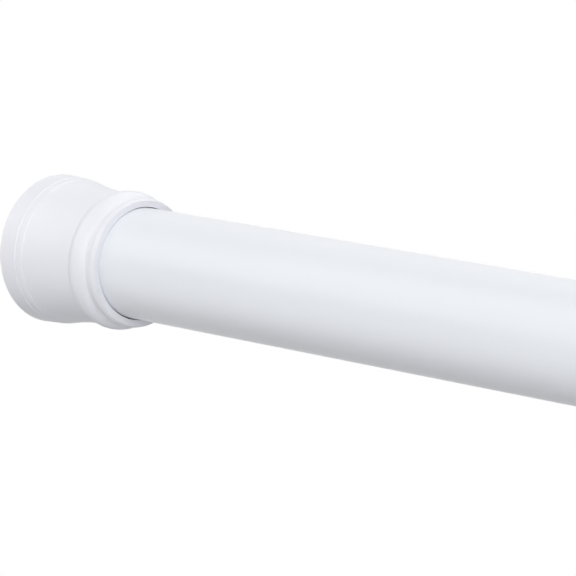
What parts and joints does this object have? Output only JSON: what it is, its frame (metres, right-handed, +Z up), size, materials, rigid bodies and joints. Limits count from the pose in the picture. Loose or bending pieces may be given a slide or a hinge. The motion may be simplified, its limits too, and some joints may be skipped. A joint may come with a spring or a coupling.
{
  "type": "spring tension rod",
  "caption": "Telescoping white curtain rod that wedges between walls: twist lock and compression spring inside, rubber feet under bell-shaped end covers that slide back.",
  "frame": {"origin": "middle of the left foot's wall face", "axes": "+X along the rod from the left wall to the right one, +Z up"},
  "size_m": [0.61, 0.0344, 0.0344],
  "materials": {
    "white_enamel": "satin white baked enamel on welded steel tube",
    "white_cap": "satin white moulded plastic",
    "white_bush": "fine matt white moulded plastic",
    "foot_rubber": "soft matt off-white rubber",
    "ring_rubber": "black moulded rubber",
    "natural_nylon": "natural moulded nylon",
    "lock_acetal": "black moulded acetal",
    "plated_steel": "bright zinc-plated turned steel",
    "spring_steel": "oiled drawn spring steel"
  },
  "bodies": {
    "outer": {"outer_tube": "white_enamel", "left_foot": "foot_rubber", "left_end_plug": "natural_nylon", "mouth_bush": "white_bush"},
    "left_cover": {"left_end_cap": "white_cap"},
    "lock": {"lock_sleeve": "lock_acetal", "drag_ring": "ring_rubber"},
    "wedge": {"wedge_nut": "lock_acetal"},
    "spindle": {"lock_spindle": "plated_steel", "spindle_clip": "spring_steel", "thrust_washer": "plated_steel", "spring_follower": "natural_nylon", "push_nut": "spring_steel"},
    "inner": {"inner_tube": "white_enamel", "guide_plug": "natural_nylon", "spring_seat": "natural_nylon", "thrust_spring": "spring_steel", "right_end_plug": "natural_nylon", "right_foot": "foot_rubber"},
    "right_cover": {"right_end_cap": "white_cap"}
  },
  "joints": [
    {"name": "left_cover_slide", "type": "slide", "parent": "outer", "child": "left_cover", "axis": [1, 0, 0], "range_m": [0, 0.024]},
    {"name": "length_adjust", "type": "slide", "parent": "outer", "child": "lock", "axis": [1, 0, 0], "range_m": [0, 0.406]},
    {"name": "twist_lock", "type": "hinge", "parent": "lock", "child": "spindle", "pos_m": [0.0615, 0, 0], "axis": [1, 0, 0], "range_deg": [0, 540]},
    {"name": "wedge_travel", "type": "slide", "parent": "lock", "child": "wedge", "axis": [1, 0, 0], "range_m": [-0.00302, 0]},
    {"name": "spring_compress", "type": "slide", "parent": "spindle", "child": "inner", "axis": [1, 0, 0], "range_m": [-0.02, 0], "stiffness_N_per_m": 2500, "springref_m": 0.006, "deforming": ["thrust_spring"]},
    {"name": "right_cover_slide", "type": "slide", "parent": "inner", "child": "right_cover", "axis": [-1, 0, 0], "range_m": [0, 0.024]}
  ],
  "couplings": [
    {"joint": "wedge_travel", "follows": "twist_lock", "m_per_rad": -0.00031831}
  ]
}
